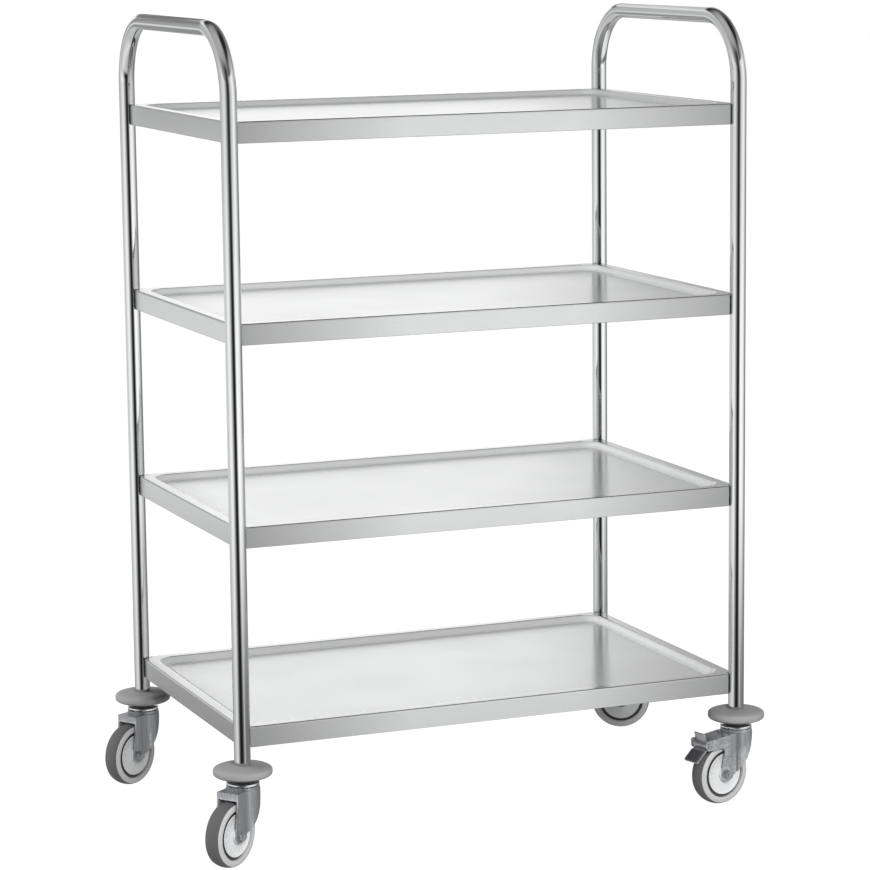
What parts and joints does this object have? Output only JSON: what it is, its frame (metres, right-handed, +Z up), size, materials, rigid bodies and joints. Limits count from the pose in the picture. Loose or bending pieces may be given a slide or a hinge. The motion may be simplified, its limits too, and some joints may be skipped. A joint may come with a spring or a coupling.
{
  "type": "serving trolley",
  "caption": "Stainless steel serving trolley: drawn tray shelves between bent tube end frames that form the push handles, on swivel castors with bumper discs and foot brakes.",
  "frame": {"origin": "on the floor, under the middle of the whole trolley's footprint", "axes": "+X along the trolley towards the end with the braked castors, +Y to the rear, +Z up"},
  "size_m": [1.0014, 0.6127, 1.2565],
  "materials": {
    "frame_tube": "polished",
    "shelf_sheet": "satin",
    "plated_steel": "bright zinc plated",
    "ball_steel": "polished",
    "bumper_rubber": "matt grey",
    "tyre_rubber": "matt grey",
    "wheel_plastic": "moulded pale grey",
    "pad_plastic": "moulded dark grey"
  },
  "bodies": {
    "chassis": {"left_end_frame": "frame_tube", "right_end_frame": "frame_tube", "top_shelf": "shelf_sheet", "upper_shelf": "shelf_sheet", "lower_shelf": "shelf_sheet", "bottom_shelf": "shelf_sheet", "shelf_bolts": "plated_steel", "saddle_washers": "plated_steel", "rivet_nuts": "plated_steel", "front_left_bumper": "bumper_rubber", "front_left_leg_plug": "plated_steel", "front_left_stem": "plated_steel", "front_left_top_race": "plated_steel", "rear_left_bumper": "bumper_rubber", "rear_left_leg_plug": "plated_steel", "rear_left_stem": "plated_steel", "rear_left_top_race": "plated_steel", "front_right_bumper": "bumper_rubber", "front_right_leg_plug": "plated_steel", "front_right_stem": "plated_steel", "front_right_top_race": "plated_steel", "rear_right_bumper": "bumper_rubber", "rear_right_leg_plug": "plated_steel", "rear_right_stem": "plated_steel", "rear_right_top_race": "plated_steel"},
    "front_left_swivel": {"front_left_bearing_balls": "ball_steel", "front_left_fork": "plated_steel", "front_left_axle_bolt": "plated_steel", "front_left_axle_nut": "plated_steel", "front_left_axle_sleeve": "plated_steel"},
    "front_left_wheel": {"front_left_wheel_centre": "wheel_plastic", "front_left_tyre": "tyre_rubber"},
    "rear_left_swivel": {"rear_left_bearing_balls": "ball_steel", "rear_left_fork": "plated_steel", "rear_left_axle_bolt": "plated_steel", "rear_left_axle_nut": "plated_steel", "rear_left_axle_sleeve": "plated_steel"},
    "rear_left_wheel": {"rear_left_wheel_centre": "wheel_plastic", "rear_left_tyre": "tyre_rubber"},
    "front_right_swivel": {"front_right_bearing_balls": "ball_steel", "front_right_fork": "plated_steel", "front_right_axle_bolt": "plated_steel", "front_right_axle_nut": "plated_steel", "front_right_axle_sleeve": "plated_steel", "front_right_brake_pin": "plated_steel"},
    "front_right_wheel": {"front_right_wheel_centre": "wheel_plastic", "front_right_tyre": "tyre_rubber"},
    "front_right_brake": {"front_right_brake_pedal": "plated_steel", "front_right_brake_pad": "pad_plastic"},
    "rear_right_swivel": {"rear_right_bearing_balls": "ball_steel", "rear_right_fork": "plated_steel", "rear_right_axle_bolt": "plated_steel", "rear_right_axle_nut": "plated_steel", "rear_right_axle_sleeve": "plated_steel", "rear_right_brake_pin": "plated_steel"},
    "rear_right_wheel": {"rear_right_wheel_centre": "wheel_plastic", "rear_right_tyre": "tyre_rubber"},
    "rear_right_brake": {"rear_right_brake_pedal": "plated_steel", "rear_right_brake_pad": "pad_plastic"}
  },
  "joints": [
    {"name": "front_left_swivel_turn", "type": "hinge", "parent": "chassis", "child": "front_left_swivel", "pos_m": [-0.424, -0.249, 0.117], "axis": [0, 0, 1], "continuous": true},
    {"name": "front_left_wheel_spin", "type": "hinge", "parent": "front_left_swivel", "child": "front_left_wheel", "pos_m": [-0.45246, -0.26937, 0.05], "axis": [0.5821, -0.8131, 0], "continuous": true},
    {"name": "rear_left_swivel_turn", "type": "hinge", "parent": "chassis", "child": "rear_left_swivel", "pos_m": [-0.424, 0.261, 0.117], "axis": [0, 0, 1], "continuous": true},
    {"name": "rear_left_wheel_spin", "type": "hinge", "parent": "rear_left_swivel", "child": "rear_left_wheel", "pos_m": [-0.45391, 0.24282, 0.05], "axis": [0.5195, -0.8545, 0], "continuous": true},
    {"name": "front_right_swivel_turn", "type": "hinge", "parent": "chassis", "child": "front_right_swivel", "pos_m": [0.406, -0.249, 0.117], "axis": [0, 0, 1], "continuous": true},
    {"name": "front_right_wheel_spin", "type": "hinge", "parent": "front_right_swivel", "child": "front_right_wheel", "pos_m": [0.37207, -0.25759, 0.05], "axis": [0.2453, -0.9694, 0], "continuous": true},
    {"name": "front_right_brake_press", "type": "hinge", "parent": "front_right_swivel", "child": "front_right_brake", "pos_m": [0.33717, -0.26642, 0.1015], "axis": [0.2453, -0.9694, 0], "range_deg": [0, 18]},
    {"name": "rear_right_swivel_turn", "type": "hinge", "parent": "chassis", "child": "rear_right_swivel", "pos_m": [0.406, 0.261, 0.117], "axis": [0, 0, 1], "continuous": true},
    {"name": "rear_right_wheel_spin", "type": "hinge", "parent": "rear_right_swivel", "child": "rear_right_wheel", "pos_m": [0.43845, 0.24789, 0.05], "axis": [0.3746, 0.9272, 0], "continuous": true},
    {"name": "rear_right_brake_press", "type": "hinge", "parent": "rear_right_swivel", "child": "rear_right_brake", "pos_m": [0.47183, 0.2344, 0.1015], "axis": [0.3746, 0.9272, 0], "range_deg": [0, 18]}
  ]
}
